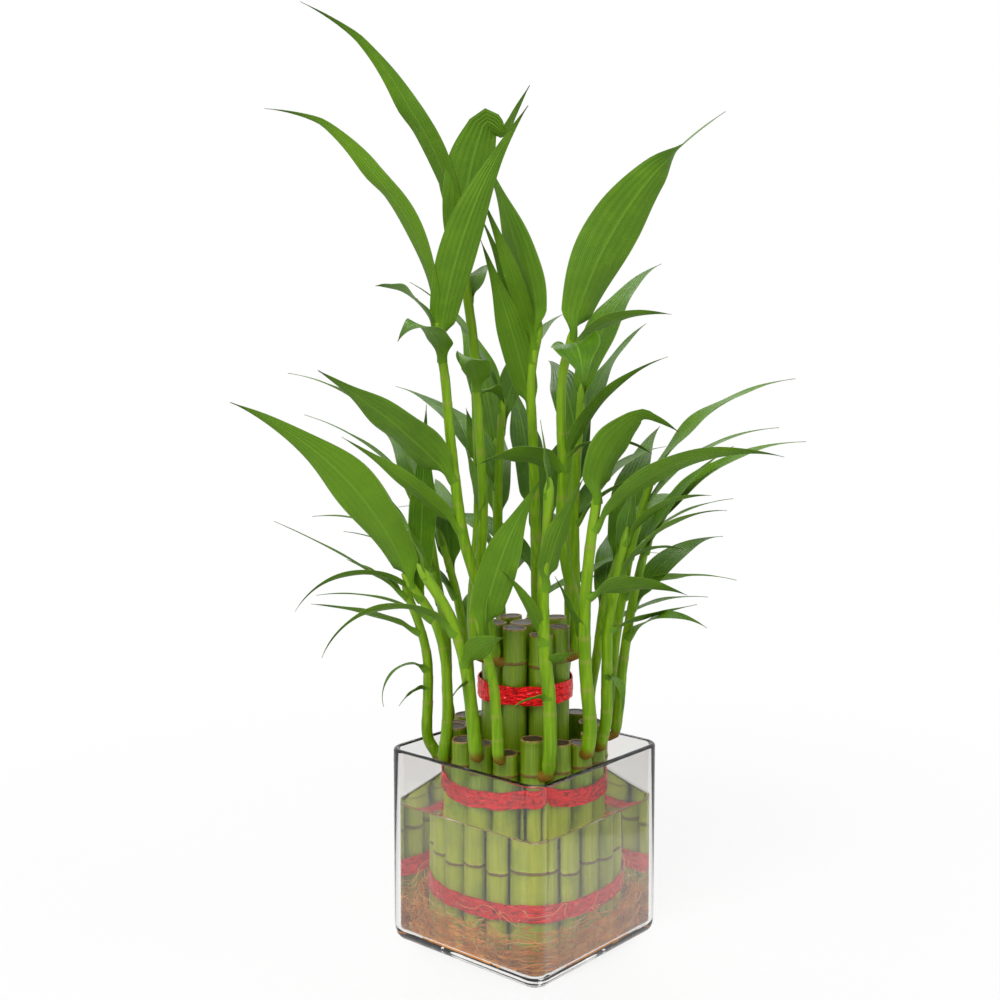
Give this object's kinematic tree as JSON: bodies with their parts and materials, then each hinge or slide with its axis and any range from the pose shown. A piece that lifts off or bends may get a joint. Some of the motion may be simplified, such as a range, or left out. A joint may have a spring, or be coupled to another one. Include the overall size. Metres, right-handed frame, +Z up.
{
  "type": "lucky bamboo in a square glass vase",
  "caption": "Tiered bundle of tied lucky bamboo canes with leafy shoots, standing in water in a square clear glass vase.",
  "frame": {"origin": "centre of the vase's flat underside", "axes": "+Z up along the canes, X and Y along the vase's sides; the bouquet's front faces 41 degrees round from -Y towards +X"},
  "size_m": [0.224, 0.233, 0.439],
  "materials": {
    "vase_glass": "clear, very slightly grey, polished",
    "water": "clear water with a faint warm tint",
    "roots": "wet orange-brown fibres",
    "ribbon_foil": "wrinkled red metallic foil",
    "cane": "smooth waxy bark with brown node rings",
    "leaf": "glossy living leaf with parallel veins"
  },
  "bodies": {
    "root": {"glass_vase": "vase_glass", "water": "water", "root_mat": "roots", "upper_ribbon": "ribbon_foil", "lower_ribbon": "ribbon_foil", "inner_ribbon": "ribbon_foil", "outer_cane_01": "cane", "outer_cane_02": "cane", "outer_cane_03": "cane", "outer_cane_04": "cane", "outer_cane_05": "cane", "outer_cane_06": "cane", "outer_cane_07": "cane", "outer_cane_08": "cane", "outer_cane_09": "cane", "outer_cane_10": "cane", "outer_cane_11": "cane", "outer_cane_12": "cane", "outer_cane_13": "cane", "outer_cane_14": "cane", "outer_cane_15": "cane", "outer_cane_16": "cane", "outer_cane_17": "cane", "inner_cane_01": "cane", "inner_cane_02": "cane", "inner_cane_03": "cane", "inner_cane_04": "cane", "inner_cane_05": "cane", "inner_cane_06": "cane", "inner_cane_07": "cane", "inner_cane_08": "cane", "core_cane": "cane", "outer_shoot_01": "leaf", "outer_shoot_03": "leaf", "outer_shoot_04": "leaf", "outer_shoot_05": "leaf", "outer_shoot_06": "leaf", "outer_shoot_07": "leaf", "outer_shoot_08": "leaf", "outer_shoot_09": "leaf", "outer_shoot_10": "leaf", "outer_shoot_11": "leaf", "outer_shoot_12": "leaf", "outer_shoot_13": "leaf", "outer_shoot_14": "leaf", "outer_shoot_16": "leaf", "outer_shoot_17": "leaf", "inner_shoot_01": "leaf", "inner_shoot_03": "leaf", "inner_shoot_04": "leaf", "inner_shoot_05": "leaf", "inner_shoot_06": "leaf", "inner_shoot_07": "leaf", "inner_shoot_08": "leaf"}
  },
  "joints": []
}
